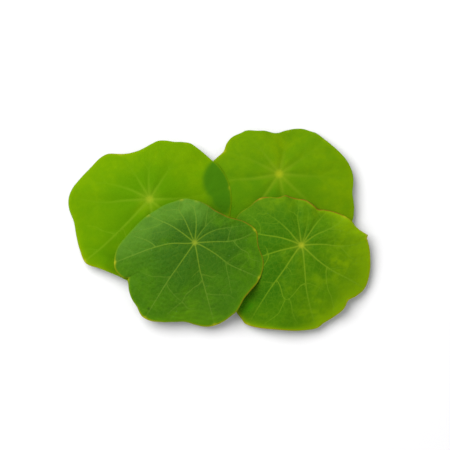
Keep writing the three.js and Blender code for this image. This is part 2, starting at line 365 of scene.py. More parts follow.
def grow_blade(leaf, name, node, seed, over=None):
    """One blade, laid over the leaf below where there is one."""
    leaf["joint"] = np.array(leaf["joint"])
    leaf["reach_at"] = round_curve(leaf["reach"])
    bearing, distance, reach, swell = lay_net(leaf)
    outward = distance / reach
    plan = place(bearing, distance)
    veins, twigs = grow_veins(leaf, seed)
    side, off, width, strength = vein_distance(plan, veins)
    twig_side, twig_off, twig_width, twig_strength = vein_distance(plan, twigs)
    joint_x, joint_y, joint_z = leaf["joint"]

    calm_reach = np.mean([leaf["reach_at"](bearing + step) for step in calm_steps], axis=0)
    formed = distance / calm_reach
    formed += (outward - formed) * smooth_step(own_outline_from, 1, outward)
    fall = joint_z + (round_curve(leaf["height"])(bearing) - joint_z) * formed**droop
    dimple = dimple_depth * np.exp(-((distance / dimple_radius) ** 2))
    swell = swell * np.sin(math.pi * outward)
    beside_rib = 1 - np.exp(-((off / rib_clearance) ** 2))
    beside_twig = 1 - np.exp(-((twig_off / twig_clearance) ** 2))
    quilt = quilt_depth * beside_rib * smooth_step(hub_radius, 2 * hub_radius, distance)
    quilt += leaf["furrow_depth"] * beside_twig
    rng = np.random.default_rng(seed + 100)
    ruffle = 0
    for waves in ruffle_waves:
        height = rng.normal(0, ruffle_height)
        ruffle += height * np.sin(np.radians(bearing) * waves + rng.random() * about_a_turn)
    surface = fall - dimple + swell + quilt - quilt_depth + ruffle * outward**ruffle_rise
    puckered = puckered_everywhere + soft_patches(leaf["puckered"], plan)
    away_from_ends = smooth_step(0.1, 0.3, outward) * smooth_step(0, 2, reach - distance)
    surface += leaf["pucker_depth"] * puckered * beside_rib * puckers(plan, rng) * away_from_ends
    swayed = distance + ripple_sway * np.sin(np.radians(bearing) * ripple_sways)
    rings = np.sin(2 * math.pi * swayed / ripple_spacing)
    surface += ripple_depth * soft_patches(leaf["rippled"], plan) * rings

    broad = np.clip(width, *ridge_widths)
    ridge = np.exp(-((side / broad) ** 2)) * (off < 3 * broad)
    facts = blade_facts(leaf, bearing, distance, reach, plan, over)
    thickening = np.sqrt(smooth_step(0.0, margin_width, reach - distance))
    thickness = half_thickness * (margin_thickness + (1 - margin_thickness) * thickening)
    if over is not None:
        # The margin comes down on the leaf below, and the sheet behind it sinks with it, ever less.
        rim = slice(-net_lines, None)
        top = top_under(over, plan[rim] + leaf["joint"][:2])
        gap = (surface - thickness)[rim] - laid_gap - top
        gap *= np.clip(round_curve(leaf["laid"])(bearing[rim]), 0, 1) * facts["over"][rim]
        surface -= np.tile(gap, len(surface) // net_lines) * smooth_step(leaf["settles_from"], 1, outward)
    boss = boss_depth * np.exp(-((distance / boss_radius) ** 4))
    upper = surface + thickness + ridge_height * ridge * strength + gland_height * facts["gland"]
    keel = keel_depth * (1 - keel_fades * outward) * ridge * np.maximum(strength, least_keel)
    lower = surface - thickness - keel - boss

    count = len(bearing)
    flat = plan + leaf["joint"][:2]
    middle = joint_z - dimple_depth - quilt_depth
    leaf["top"] = np.column_stack([flat, upper])
    points = np.concatenate([
        leaf["top"],
        np.column_stack([flat, lower]),
        [[joint_x, joint_y, middle + half_thickness]],
        [[joint_x, joint_y, middle - half_thickness - boss_depth]],
    ])
    line = np.arange(net_lines)
    following = np.roll(line, -1)
    faces = []
    for ring in range(0, count - net_lines, net_lines):
        a, b = ring, ring + net_lines
        quad = np.stack([a + line, b + line, b + following, a + following], -1)
        faces += [quad, quad[:, ::-1] + count]
    outer, next_outer = count - net_lines + line, count - net_lines + following
    faces.append(np.stack([outer, count + outer, count + next_outer, next_outer], -1))
    faces = [tuple(face) for face in np.concatenate(faces).tolist()]
    faces += [(2 * count, int(i), int(j)) for i, j in zip(line, following)]
    faces += [(2 * count + 1, int(count + j), int(count + i)) for i, j in zip(line, following)]
    blade, mesh = shown_piece(name, points, faces, blade_material(leaf["looks"], name + "_skin"))
    mesh.set_sharp_from_angle(angle=math.radians(sharp_angle))

    facts["vein_side"] = np.clip(side / width, -far_off, far_off)
    facts["vein_off"] = np.clip(off / width, 0, far_off)
    facts["vein_strength"] = strength
    facts["twig_side"] = np.clip(twig_side / twig_width, -far_off, far_off)
    facts["twig_off"] = np.clip(twig_off / twig_width, 0, far_off)
    facts["twig_strength"] = twig_strength
    for fact, values in facts.items():
        middle_value = 0.0 if fact == "distance" else float(values[:net_lines].mean())
        mark_points(mesh, fact, np.concatenate([values, values, [middle_value] * 2]))
    mark_points(mesh, "under", np.concatenate([np.zeros(count), np.ones(count), [0, 1]]))
    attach(blade, "root")
    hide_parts(node)


class Nodes:
    """A short way to write a material's nodes."""

    def __init__(self, name):
        self.material = bpy.data.materials.new(name)
        self.material.use_nodes = True
        self.tree = self.material.node_tree
        self.tree.nodes.clear()

    def add(self, kind, inputs=(), **settings):
        node = self.tree.nodes.new("ShaderNode" + kind)
        for key, value in settings.items():
            setattr(node, key, value)
        for socket, value in dict(inputs).items():
            if isinstance(value, bpy.types.NodeSocket):
                self.tree.links.new(value, node.inputs[socket])
            else:
                node.inputs[socket].default_value = value
        return node

    def fact(self, name):
        return self.add("Attribute", attribute_name=name).outputs["Fac"]

    def maths(self, operation, a, b=0.0):
        return self.add("Math", {0: a, 1: b}, operation=operation).outputs[0]

    def times(self, a, b):
        return self.maths("MULTIPLY", a, b)

    def ramp(self, value, low, high, start=0.0, end=1.0):
        inputs = {"Value": value, "From Min": low, "From Max": high, "To Min": start, "To Max": end}
        return self.add("MapRange", inputs, interpolation_type="SMOOTHSTEP").outputs["Result"]

    def blend(self, amount, a, b, mode="MIX"):
        node = self.add("Mix", {"Factor": amount, 6: a, 7: b}, data_type="RGBA", blend_type=mode)
        return node.outputs[2]

    def where(self, seed=0.0):
        spot = self.add("TexCoord").outputs["Object"]
        return self.add("Mapping", {"Vector": spot, "Location": (seed, seed * 0.7, seed * 0.3)}).outputs[0]

    def noise(self, scale, detail=3.0, seed=0.0):
        inputs = {"Vector": self.where(seed), "Scale": scale, "Detail": detail}
        return self.add("TexNoise", inputs).outputs["Fac"]

    def cells(self, scale, seed=0.0):
        """Distance to the walls of a net of uneven cells."""
        spot = self.where(seed)
        sway = self.add("TexNoise", {"Vector": spot, "Scale": scale * 1.2, "Detail": 1.0}).outputs["Color"]
        sway = self.add("VectorMath", {0: sway, "Scale": 0.5 / scale}, operation="SCALE").outputs[0]
        bent = self.add("VectorMath", {0: spot, 1: sway}, operation="ADD").outputs[0]
        net = self.add("TexVoronoi", {"Vector": bent, "Scale": scale}, feature="DISTANCE_TO_EDGE")
        return net.outputs["Distance"]


net_scale = 380.0
fine_net_scale = 1100.0
patch_scale = 75.0
mottle_scale = 420.0
blotch_scale = 210.0
speck_scale = 330.0
speckled_scale = 140.0
paler_scale = 260.0
cloud_scale = 230.0
rust_scale = 500.0
grain_scale = 2600.0
light_through_green = (0.072, 0.32, 0.002, 1)
lens_shade_green = (0.060, 0.226, 0.0048, 1)
speck_green = (0.17, 0.36, 0.10, 1)
in_shadow = (0.35, 0.45, 0.4, 1)
rim_yellow = (0.42, 0.42, 0.002, 1)
rusty_brown = (0.29, 0.135, 0.012, 1)
gland_yellow = (0.48, 0.51, 0.017, 1)
pale_underside = (0.33, 0.43, 0.2, 1)
pale_under_vein = (0.46, 0.55, 0.2, 1)
through_light = (1.0, 1.0, 0.55, 1)
relief_height = 0.0003


def blade_material(looks, name):
    """Mottled, veined green with painted sheen, shade and light; yellow and rusty at the margin;
    translucent.
    """
    n = Nodes(name)
    seed = looks["seed"]

    def line(side, off, strength):
        crisp = n.ramp(n.maths("ABSOLUTE", n.fact(side)), looks["vein_core"], 1.3, 1, 0)
        return n.times(n.times(crisp, n.ramp(n.fact(off), 1.9, 3.0, 1, 0)), n.fact(strength))

    vein = line("vein_side", "vein_off", "vein_strength")
    twig = line("twig_side", "twig_off", "twig_strength")
    net = n.ramp(n.cells(net_scale, seed), 0.02, 0.14, 1, 0)
    fine_net = n.ramp(n.cells(fine_net_scale, seed), 0.03, 0.18, 1, 0)
    patches = n.ramp(n.noise(patch_scale, 2.0, seed), 0.35, 0.68)
    mottle = n.ramp(n.noise(mottle_scale, 4.0, seed), 0.3, 0.72)

    blotch = n.ramp(n.noise(blotch_scale, 3.0, seed + 4), 0.5, 0.75, 0, looks["blotches"])
    deep_middle = n.ramp(n.fact("outward"), 0.25, 0.75, looks["deep_hub"], 0)
    blotchy = n.ramp(n.noise(paler_scale, 2.0, seed + 2), 0.35, 0.6, 0.4, 1.1)
    cloudy = n.ramp(n.noise(cloud_scale, 3.0, seed), 0.3, 0.7, 0.7, 1.1)
    pale_vein = n.blend(n.ramp(n.fact("outward"), 0.2, 0.7), looks["vein"], looks["outer_vein"])
    speck = n.add("TexVoronoi", {"Vector": n.where(seed), "Scale": speck_scale}).outputs["Distance"]
    speckled = n.ramp(n.noise(speckled_scale, 2.0, seed + 3), 0.45, 0.6, 0, looks["specks"])
    halo = n.ramp(n.fact("distance"), 0, 3 * looks["hub_size"], looks["halo_shows"], 0)
    hub = n.ramp(n.fact("distance"), 0.1 * looks["hub_size"], looks["hub_size"], 1, 0)
    layers = [
        (n.times(mottle, 0.3), looks["deep_and_shade"]),
        (blotch, looks["yellow"]),
        (deep_middle, looks["deep_and_shade"]),
        # Deeper green, partly painted shade.
        (n.fact("deeper_and_shade"), looks["deep_and_shade"]),
        # Painted light: green, inside the shadow of the leaf above.
        (n.fact("light_through_above"), light_through_green),
        # Paler green, partly painted light.
        (n.times(n.fact("paler_and_lit"), blotchy), looks["yellow"]),
        # Painted sheen: a greyer highlight on the upper left.
        (n.times(n.fact("painted_sheen"), cloudy), looks["painted_sheen"]),
        (n.times(n.fact("yellow"), 0.85), looks["yellow"]),
        (n.times(fine_net, 0.08), pale_vein),
        (n.times(net, looks["net_shows"]), pale_vein),
        (n.times(twig, looks["twig_shows"]), pale_vein),
        (n.times(vein, looks["vein_shows"]), pale_vein),
        (n.times(n.ramp(speck, 0.03, 0.09, 1, 0), speckled), speck_green),
        (halo, looks["hub"]),
        (hub, looks["hub"]),
        # Painted shade: the darker lens where the leaf below lies under this one.
        (n.times(n.fact("through"), looks["lens_shade_shows"]), lens_shade_green),
    ]
    colour = n.blend(patches, looks["plain"], looks["patch"])
    for amount, tint in layers:
        colour = n.blend(amount, colour, tint)
    colour = n.blend(n.fact("shaded"), colour, in_shadow, "MULTIPLY")

    at_margin = n.ramp(n.fact("inside"), 0.1, looks["rust_reach"], 1, 0)
    near_margin = n.ramp(n.fact("inside"), 0.1, 1.0, 1, 0)
    uneven = n.ramp(n.noise(rust_scale, 2.0, seed + 1), 0.3, 0.5, 0.3, 1)
    colour = n.blend(n.times(near_margin, n.fact("rim")), colour, rim_yellow)
    colour = n.blend(n.times(n.times(at_margin, n.fact("rust")), uneven), colour, rusty_brown)
    colour = n.blend(n.fact("gland"), colour, gland_yellow)

    pale = n.blend(n.times(n.fact("under"), 0.55), colour, pale_underside)
    pale = n.blend(n.times(n.times(vein, n.fact("under")), 0.6), pale, pale_under_vein)

    fine = n.noise(grain_scale, 2.0)
    height = n.maths("ADD", n.times(net, -0.25), n.times(fine, 0.3))
    height = n.maths("ADD", height, n.times(n.maths("ADD", vein, twig), 0.4))
    relief = {"Strength": looks["relief"], "Distance": relief_height, "Height": height}
    bump = n.add("Bump", relief).outputs[0]
    front = n.add("BsdfPrincipled", {
        "Base Color": pale,
        "Roughness": n.ramp(fine, 0.3, 0.7, 0.5, 0.66),
        "Specular IOR Level": looks["shine"],
        "Normal": bump,
    })
    light = n.blend(1.0, pale, through_light, "MULTIPLY")
    back = n.add("BsdfTranslucent", {"Color": light, "Normal": bump})
    both = n.add("MixShader", {"Fac": 0.3, 1: front.outputs[0], 2: back.outputs[0]})
    n.add("OutputMaterial", {"Surface": both.outputs[0]})
    return n.material


fork_steps = ((0, 0), (0.1, 0.12), (0.22, 0.26), (0.3, 0.36))


def forked_branches(leaf, strength, seed):
    """Branches for a leaf where none can be made out: each rib parts into two about halfway out."""
    rng = np.random.default_rng(seed)
    leaf["reach_at"] = round_curve(leaf["reach"])
    branches = []
    for number, rib in enumerate(leaf["ribs"]):
        for step in (-1, 1):
            other = leaf["ribs"][(number + step) % len(leaf["ribs"])]
            gap = step * ((step * (other[-1] - rib[-1])) % 360)
            share = rng.uniform(0.4, 0.62)
            corners = []
            for out, aside in fork_steps:
                bearing = rib_bearing(rib, share + out) + gap * aside
                corners.append((bearing, way_out(leaf, bearing, share + out)))
            branches.append((strength, *corners))
    return branches


nowhere = [(0, 0), (180, 0)]
everywhere = [(0, 1), (180, 1)]
plain_blade = {
    "rust": nowhere,
    "painted_sheen": nowhere,
    "lens_shade_by_bearing": everywhere,
    "more_lens_shade": [],
    "shaded": [],
    "light_through_above": [],
    "puckered": [],
    "rippled": [],
    "furrow_depth": 0.02,
    "pucker_depth": 0.02,
}
plain_looks = {
    "lens_shade_shows": 0.0, "specks": 0.0, "painted_sheen": (0.19, 0.39, 0.001, 1), "twig_shows": 0.12,
    "net_shows": 0.03, "relief": 0.15, "rust_reach": 0.5, "shine": 0.005,
}
back_right_leaf = {
    **plain_blade,
    "joint": (26.2, 24.8, 7.2),
    "reach": [
        (0, 32.4), (10, 30.6), (21, 28), (30, 26.2), (38, 25.1), (48, 24.3), (54, 23.4), (62, 22.6),
        (70, 21.3), (78, 19.9), (84, 19), (90, 18.2), (98, 18.3), (108, 20), (117, 21.4), (127, 24),
        (133, 24.7), (142, 26.3), (150, 26.7), (158, 26.4), (165, 28.2), (175, 31.6), (183, 33.2),
        (192, 33.1), (200, 31.4), (210, 30.2), (220, 29), (232, 28.6), (254, 29.5), (275, 30.2),
        (290, 30.6), (308, 34.6), (320, 37.6), (327, 38.3), (335, 36.4), (345, 33.4), (353, 32.9),
    ],
    "height": [
        (0, 5.6), (20, 5.8), (42, 4.1), (66, 0.5), (90, 3.2), (112, 4.4), (135, 3), (157, 4.2), (180, 4.4),
        (205, 4.8), (240, 5), (270, 4.6), (300, 4.2), (327, 4.4), (343, 5.8),
    ],
    "ribs": [
        (-5, -5, -4, -4, -3), (32, 33, 34, 35, 36), (76, 76, 77, 78, 78), (125, 126, 127, 127, 128),
        (152, 153, 154, 156, 157), (193, 191, 188, 187, 186), (238, 237, 236, 236, 235),
        (281, 281, 280, 280, 280), (315, 316, 317, 318, 319),
    ],
    "glands": [(157.5, 0.6), (36, 0.2), (78, 0.2), (319, 0.3)],
    "yellow": [(0, 2), (60, 0.5), (120, 0.5), (157, 2), (200, 0.5), (320, 2)],
    # Deeper patches: on the lower left, beside the front leaves, they are painted shade.
    "deeper_and_shade": [
        (205, 20, 10, 0.8), (235, 12, 6, 0.3), (255, 11, 5, 0.6), (335, 14, 6, 0.5), (222, 27, 4, 0.8),
        (62, 16, 5, 0.3), (330, 4.5, 4, 0.4),
    ],
    "paler_and_lit": [
        (85, 14, 7, 0.5), (345, 28, 7, 0.6), (320, 34, 6, 0.6), (108, 12, 6, 0.3), (95, 4, 3, 0.5),
    ],
    "rim": [(0, 0), (140, 0), (157, 0.5), (175, 0)],
    "rib_widths": [(0, 1.2), (0.3, 1.05), (1, 0.7)],
    "rib_fading": [(0, 1), (0.2, 0.75), (0.6, 0.2), (1, 0.05)],
    "own_fading": {5: [(0, 1), (0.3, 0.9), (0.7, 0.4), (1, 0.1)], 6: [(0, 1), (0.5, 1), (1, 0.4)]},
    "looks": {
        **plain_looks,
        "seed": 3.0, "blotches": 0.35,
        "plain": (0.152, 0.326, 0.0018, 1), "patch": (0.174, 0.354, 0.0014, 1),
        "deep_and_shade": (0.094, 0.272, 0.0025, 1), "yellow": (0.215, 0.38, 0.0006, 1),
        "vein": (0.215, 0.380, 0.009, 1), "outer_vein": (0.205, 0.375, 0.009, 1),
        "hub": (0.40, 0.50, 0.012, 1),
        "deep_hub": 0.3, "hub_size": 2.7, "halo_shows": 0.18, "vein_core": -0.3, "vein_shows": 0.75,
    },
}
back_right_leaf["branches"] = forked_branches(back_right_leaf, 0.4, 11)
grow_blade(back_right_leaf, "back_right_blade", "blade_back_right", 21)

# The back left leaf's blade is a sheet of the same kind and lies on the edge of the back right one,
# its own stalk under its middle. Over that edge it is painted darker, a lens of painted shade.
back_left_leaf = {
    **plain_blade,
    "joint": (-30.6, 13.6, 9.6),
    "reach": [
        (3, 35.9), (14, 35.3), (27, 33.4), (33, 32.1), (40, 31.3), (48, 30.7), (54, 30.4), (60, 29.1),
        (67, 27.5), (75, 26.8), (82, 26), (88, 24.5), (96, 22.8), (104, 22), (113, 22.2), (120, 23.2),
        (126, 24.9), (133, 27.5), (140, 28.7), (150, 29.6), (157, 30.7), (165, 32.6), (172, 34.6),
        (179, 35.9), (186, 36), (196, 35), (205, 36), (216, 38.1), (225, 39.8), (233, 37.8), (241, 36.7),
        (248, 36.5), (256, 37), (270, 35.4), (285, 35.6), (303, 36.4), (320, 36), (334, 36.4), (347, 35.9),
    ],
    "height": [
        (2, 7.2), (14, 7.2), (23, 6.9), (32, 6.1), (52, 6.4), (75, 5.6), (95, 6), (115, 4.2), (143, 0.45),
        (165, 2.6), (183, 2.4), (203, 3.6), (226, 4.9), (245, 6.6), (275, 5.4), (303, 5.2), (330, 6),
        (349, 6.8),
    ],
    "ribs": [
        (0, 1, 3, 6, 9), (57, 57, 57, 57, 57), (94, 93, 91, 90, 89), (118, 120, 121, 123, 124),
        (151, 154, 158, 162, 165), (183, 183, 184, 181, 178), (227, 227, 226, 225, 223.5),
        (280, 279, 278, 277, 277), (320, 321, 323, 325, 326),
    ],
    "glands": [(8, 0.4), (124, 0.6), (180, 0.2), (223.5, 1), (57, 0.2)],
    "rust": [(0, 0), (124, 0.1), (240, 0)],
    "yellow": [(0, 1.5), (60, 0.6), (124, 1.5), (180, 1), (223, 2), (280, 0.6)],
    # Deeper patches: those beside the front left leaf's margin, on the lower left, are painted shade.
    "deeper_and_shade": [
        (205, 24, 11, 0.35), (12, 27, 8, 0.3), (95, 9, 7, 0.75), (165, 14, 6, 0.5), (5, 8, 4, 0.4),
        (224, 20, 5, 0.4), (232, 30, 7, 0.7), (238, 36, 5, 0.6), (218, 36, 5, 0.3),
    ],
    "paler_and_lit": [(240, 5, 4, 0.4), (50, 24, 6, 0.3)],
    "shaded": [
        (236, 13.5, 3, 0.15), (232, 19, 2.5, 0.15), (230, 25.2, 3, 0.25),
        (235, 30.8, 3, 0.35), (242, 35.4, 3, 0.4),
    ],
    # On the right the pale rim is painted light over the contact shade under the margin.
    "rim": [
        (0, 0.08), (10, 0.08), (20, 0), (110, 0.1), (124, 0.5), (140, 0.1), (200, 0), (224, 0.7),
        (240, 0.2), (260, 0), (335, 0), (345, 0.08),
    ],
    "rib_widths": [(0, 0.95), (0.3, 0.75), (1, 0.55)],
    "rib_fading": [(0, 1), (0.3, 0.6), (0.55, 0.22), (1, 0.08)],
    "own_fading": {6: [(0, 1), (0.6, 1), (1, 0.7)], 5: [(0, 1), (0.3, 0.75), (0.6, 0.3), (1, 0.05)]},
    "laid": [(0, 1), (10, 1), (18, 0.8), (25, 0.3), (31, 0), (50, 0), (310, 0), (330, 0.6), (345, 1)],
    "settles_from": 0.7,
    # Painted shade: more of the darker lens, and how strong it is by bearing.
    "more_lens_shade": [(354, 29.5, 3, 0.9), (357, 32, 3, 0.9), (356, 26.5, 2.5, 0.5), (351, 33.5, 2.5, 0.9)],
    "lens_shade_by_bearing": [(6, 0.92), (16, 0.98), (40, 1), (180, 1), (330, 0.55), (346, 0.5), (354, 0.6)],
    "looks": {
        **plain_looks,
        "seed": 7.0, "blotches": 0.4, "lens_shade_shows": 0.9,
        "plain": (0.168, 0.358, 0.0006, 1), "patch": (0.186, 0.378, 0.0006, 1),
        "deep_and_shade": (0.113, 0.310, 0.0008, 1), "yellow": (0.235, 0.42, 0.0006, 1),
        "vein": (0.215, 0.420, 0.009, 1), "outer_vein": (0.212, 0.415, 0.008, 1),
        "hub": (0.35, 0.50, 0.017, 1),
        "deep_hub": 0.85, "hub_size": 2.6, "halo_shows": 0.24, "vein_core": -0.2, "vein_shows": 0.8,
    },
}
back_left_leaf["branches"] = [
    (0.9, (226.5, 17.3), (231.5, 17.9), (237, 19.2), (241, 21), (246, 24)),
    (0.9, (224.6, 21.7), (219, 23.2), (213, 25), (206.5, 26.8), (203, 30)),
    (0.6, (223.6, 32), (220, 34), (217, 36.5)),
    *forked_branches(back_left_leaf, 0.3, 12),
]
grow_blade(
    back_left_leaf, "back_left_blade", "blade_back_left", 22, over=back_right_leaf
)

# The front right leaf's blade lies over the edge of the back right one, again held by a stalk under its
# middle. It is darker green, turns yellow on its right and has a thin rusty line along the top.
front_right_leaf = {
    **plain_blade,
    "joint": (35.9, -6.5, 11.2),
    "reach": [
        (4, 29.3), (6.5, 29.1), (8.5, 29.6), (11, 28.2), (15, 26.4), (20, 25.1), (25, 24.6), (32, 23.3),
        (39, 21.8), (48, 20.1), (57, 18.5), (64.5, 17.4), (71, 18), (78, 18.9), (85, 19.9), (93, 20.3),
        (98, 20.8), (103, 21.7), (108, 23), (113, 23), (118, 23.6), (124, 25.5), (131, 27.4), (137, 28),
        (143, 28.3), (154, 30.6), (167, 30.8), (181, 30.4), (196, 32.4), (212, 36.8), (226, 41),
        (231, 41.8), (235, 42.5), (244, 40.7), (251, 39.2), (259, 38.2), (273, 37.5), (281, 37.2),
        (286, 35.8), (292, 35), (304, 33.7), (310.5, 32), (317, 33), (326, 33.9), (338, 32.6),
        (350, 30.9), (358, 30),
    ],
    "height": [
        (8, 6.6), (28, 8.2), (52, 7), (75, 9), (98, 8.4), (118, 9.2), (140, 8.2), (165, 7.2), (190, 6.4),
        (215, 3.8), (236, 4.2), (257, 6.2), (281, 4.6), (300, 5.6), (312, 5.9), (326, 4.2), (347, 5),
    ],
    "ribs": [
        (3.5, 2, -1.5, 0.5, 4), (38, 35.5, 30.5, 30, 33), (57, 56, 55.5, 53.7, 52.5),
        (71, 73, 75, 78.5, 83), (98, 97.5, 98, 94.5, 93), (134, 131.7, 134.5, 137.3, 132),
        (156, 160.3, 164.8, 166, 167), (196, 194, 195.5, 195, 195), (229, 234.5, 234.4, 235.3, 236.3),
        (283, 277.5, 276.5, 278.5, 280), (317.5, 317.7, 321, 324.5, 325.5),
    ],
    "branches": [
        (0.8, (-1.5, 16.8), (-6, 18.3), (-12, 21), (-14.8, 23.8), (-13, 27), (-10.5, 29.5)),
        (0.6, (30, 14), (25, 16.3), (20, 18.8), (14, 22)),
        (0.5, (53.7, 14.8), (60, 16), (64, 17)),
        (0.5, (98, 12.5), (102, 14.2), (110, 16)),
        (0.6, (137.3, 20.3), (141, 21.5), (144, 23.5)),
        (0.3, (134, 13.8), (141, 15), (146, 17), (150, 20)),
        (0.5, (164.6, 18.8), (158, 19.3), (153, 21), (150.5, 24), (150, 27)),
        (0.9, (195.8, 14.9), (201, 15.6), (205, 16.9), (209.5, 19.4), (212, 22)),
        (0.9, (195.7, 15.1), (190, 15.2), (186, 15.3), (182.2, 15.9)),
        (1, (235, 18.9), (240, 19.6), (245, 21.2), (250, 23.8), (253, 25), (252.5, 28), (251.5, 31.5),
            (248, 35), (245.5, 37.5)),
        (0.5, (234.4, 20.6), (229, 21.5), (224, 23.2), (219, 26)),
        (0.6, (234.6, 11.5), (243, 11.8), (251.5, 13.3)),
        (1, (275.6, 16.9), (269, 17.8), (264.5, 19.7), (260.5, 22), (256.5, 24.3), (253, 25)),
        (0.8, (257, 24.1), (260, 26), (262, 29), (264.5, 32), (267, 34)),
        (0.5, (275.7, 16.9), (283, 17.4), (288.5, 18.8), (293, 20.3), (297, 22.5)),
        (1, (318.2, 14.8), (312.5, 16), (307.5, 17.8), (303.5, 20.3), (300.8, 23), (300.3, 25.5),
            (298.3, 29.3), (297, 32)),
        (0.4, (319.5, 16.5), (326, 18), (331, 20.5), (334, 24)),
    ],
    "glands": [(7, 0.9), (33, 0.75), (82, 0.2), (131.5, 0.45), (236, 0.8), (281, 0.4), (310, 0.5)],
    "rust": [
        (0, 0), (20, 0), (30, 0.6), (40, 1), (60, 1), (80, 1), (100, 1), (108, 1),
        (114, 0.7), (119, 0.3), (131, 1), (139, 0.3), (165, 0.2), (190, 0), (228, 0.15), (248, 0.4),
        (262, 0.3), (275, 0), (330, 0),
    ],
    "yellow": [
        (0, 7.5), (20, 6), (40, 3), (65, 1.3), (90, 0.8), (104, 0.2), (130, 0.1), (160, 0.1), (220, 1),
        (240, 1.8), (256, 1.1), (270, 1.7), (285, 4), (305, 6), (330, 7.5),
    ],
    # Deeper patches: those along the front left leaf's lower margin are painted shade, its shadow on this
    # leaf.
    "deeper_and_shade": [
        (216, 19, 6.5, 0.9), (225, 27, 6, 0.45), (231, 31, 3.5, 0.8), (148, 18, 8, 0.5), (258, 31, 7, 0.3),
        (182, 18, 5, 0.9), (226, 13, 6, 0.5), (241, 22, 5, 0.95), (20, 13.1, 3.5, 0.25), (309, 14.3, 3, 0.3),
        (313, 26.7, 4, 0.3), (295, 28.4, 3, 0.3), (50, 9, 5, 0.2), (135, 10, 5, 0.4), (255, 12, 5, 0.3),
        (162, 14, 4, 0.3), (80, 6, 4, 0.5), (178, 9, 4, 0.6), (225, 5, 3, 0.4),
        (100, 12, 4, 0.35), (120, 14, 3.5, 0.35), (140, 20, 4, 0.4), (242, 25, 3, 0.5), (320, 20, 3, 0.3),
        (128, 22, 3.5, 0.25),
    ],
    "paler_and_lit": [
        (294, 17.6, 3.4, 0.35), (329, 16.3, 3.6, 0.4), (339, 21.7, 4, 0.3), (251, 18.8, 3, 0.2),
        (346, 10.6, 3, 0.2), (26, 22.5, 5.5, 0.35), (272, 28, 4, 0.25), (58, 15, 5, 0.15), (120, 23, 5, 0.4),
        (350, 26, 4, 0.2), (318, 22, 4, 0.3), (6, 20, 5, 0.5), (285, 24, 4, 0.25), (275, 9, 4, 0.2),
        (341, 19, 4, 0.2), (282, 32, 4, 0.4), (204, 8, 3, 0.25), (82, 13, 3.5, 0.12), (100, 19, 3, 0.2),
    ],
    # Painted light: green light through the front left leaf, inside its shadow on this one.
    "light_through_above": [(225, 34.5, 3.5, 1), (228.5, 38, 3, 0.8)],
    "rim": [
        (0, 0.6), (9, 1), (20, 0.3), (40, 0.1), (118, 0), (131, 0.4), (142, 0), (222, 0.3), (238, 0.9),
        (252, 0.8), (270, 0.4), (285, 0.5), (305, 0.7), (330, 0.6),
    ],
    "rib_widths": [(0, 0.46), (0.3, 0.37), (1, 0.34)],
    "rib_fading": [(0, 1), (0.5, 0.9), (0.8, 0.55), (1, 0.1)],
    "own_fading": {
        0: [(0, 1), (0.5, 0.85), (0.8, 0.5), (1, 0.1)], 1: [(0, 0.9), (0.5, 0.75), (0.8, 0.5), (1, 0.1)],
        3: [(0, 0.7), (0.4, 0.4), (0.8, 0.15), (1, 0)], 4: [(0, 0.9), (0.5, 0.55), (0.8, 0.3), (1, 0.05)],
        5: [(0, 1), (0.4, 0.6), (0.7, 0.15), (1, 0)], 10: [(0, 1), (0.5, 1), (0.8, 0.8), (1, 0.4)],
    },
    "furrow_depth": 0.07,
    "pucker_depth": 0.04,
    "puckered": [(205, 20, 6, 1)],
    # A faint painted sheen on the upper left, by bearing.
    "painted_sheen": [(0, 0), (90, 0.1), (140, 0.3), (190, 0.3), (230, 0)],
    "looks": {
        **plain_looks,
        "seed": 13.0, "blotches": 0.25, "specks": 0.25,
        "plain": (0.076, 0.232, 0.0012, 1), "patch": (0.098, 0.262, 0.0010, 1),
        "deep_and_shade": (0.044, 0.178, 0.0018, 1), "painted_sheen": (0.100, 0.27, 0.006, 1),
        "yellow": (0.290, 0.490, 0.0004, 1),
        "vein": (0.225, 0.385, 0.012, 1), "outer_vein": (0.200, 0.385, 0.011, 1),
        "hub": (0.42, 0.50, 0.02, 1),
        "deep_hub": 0.25, "hub_size": 1.9, "halo_shows": 0.2, "vein_core": 0.1, "vein_shows": 0.85,
        "twig_shows": 0.3, "net_shows": 0.12, "relief": 0.35, "rust_reach": 0.66, "shine": 0.03,
    },
}
grow_blade(front_right_leaf, "front_right_blade", "blade_front_right", 23)
